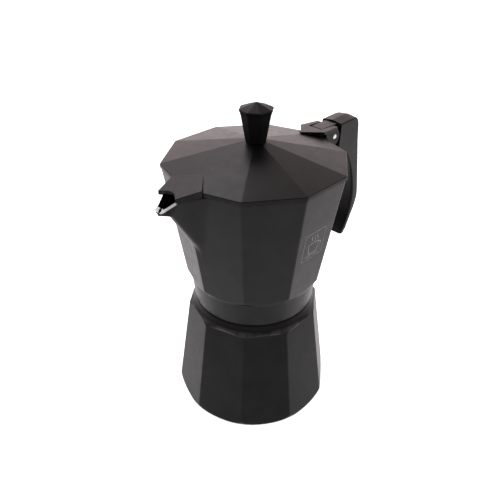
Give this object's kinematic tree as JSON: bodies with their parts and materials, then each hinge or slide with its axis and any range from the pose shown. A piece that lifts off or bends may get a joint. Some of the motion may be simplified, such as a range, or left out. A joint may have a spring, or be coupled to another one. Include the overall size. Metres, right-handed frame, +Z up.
{
  "type": "moka pot",
  "caption": "Ten-sided stove-top moka pot with threaded boiler, spouted upper chamber, hinged shallow lid, knob, strap handle, funnel, seal and safety valve.",
  "frame": {"origin": "centre of the boiler's flat base, on the pot's axis", "axes": "+Z up along the pot's axis, -X toward the spout, +X toward the handle"},
  "size_m": [0.1732, 0.1045, 0.2037],
  "materials": {
    "coated_aluminium": "satin black coating over cast aluminium",
    "bare_aluminium": "spun bare aluminium",
    "brass": "turned brass",
    "steel": "bright steel",
    "white_rubber": "matte food-grade rubber",
    "black_plastic": "satin black phenolic plastic"
  },
  "bodies": {
    "boiler_group": {"boiler": "coated_aluminium", "valve_body": "brass", "valve_washer": "white_rubber", "valve_retainer": "steel", "valve_spring": "steel", "funnel_basket": "bare_aluminium", "funnel_tube": "bare_aluminium", "funnel_screen": "steel"},
    "valve_group": {"valve_plunger": "brass"},
    "seal_group": {"gasket": "white_rubber", "filter_plate": "bare_aluminium"},
    "collector_group": {"collector": "coated_aluminium", "handle": "black_plastic", "handle_screw": "steel", "handle_washer": "steel", "hinge_pin": "steel"},
    "lid_group": {"lid": "coated_aluminium", "hinge_bracket": "coated_aluminium", "knob": "black_plastic", "knob_insert": "brass", "knob_screw": "steel", "knob_washer": "steel"}
  },
  "joints": [
    {"name": "collector_rise", "type": "slide", "parent": "boiler_group", "child": "seal_group", "axis": [0, 0, 1], "range_m": [0, 0.0076]},
    {"name": "collector_unscrew", "type": "hinge", "parent": "seal_group", "child": "collector_group", "pos_m": [0, 0, 0.0957], "axis": [0, 0, 1], "range_deg": [0, 900]},
    {"name": "lid_hinge", "type": "hinge", "parent": "collector_group", "child": "lid_group", "pos_m": [0.0647, 0, 0.1684], "axis": [0, 1, 0], "range_deg": [0, 95]},
    {"name": "valve_lift", "type": "slide", "parent": "boiler_group", "child": "valve_group", "axis": [0, 0.9899, 0.1419], "range_m": [0, 0.0015], "stiffness_N_per_m": 900, "deforming": ["valve_spring"]}
  ],
  "couplings": [
    {"joint": "collector_rise", "follows": "collector_unscrew", "m_per_rad": 0.00047746}
  ]
}
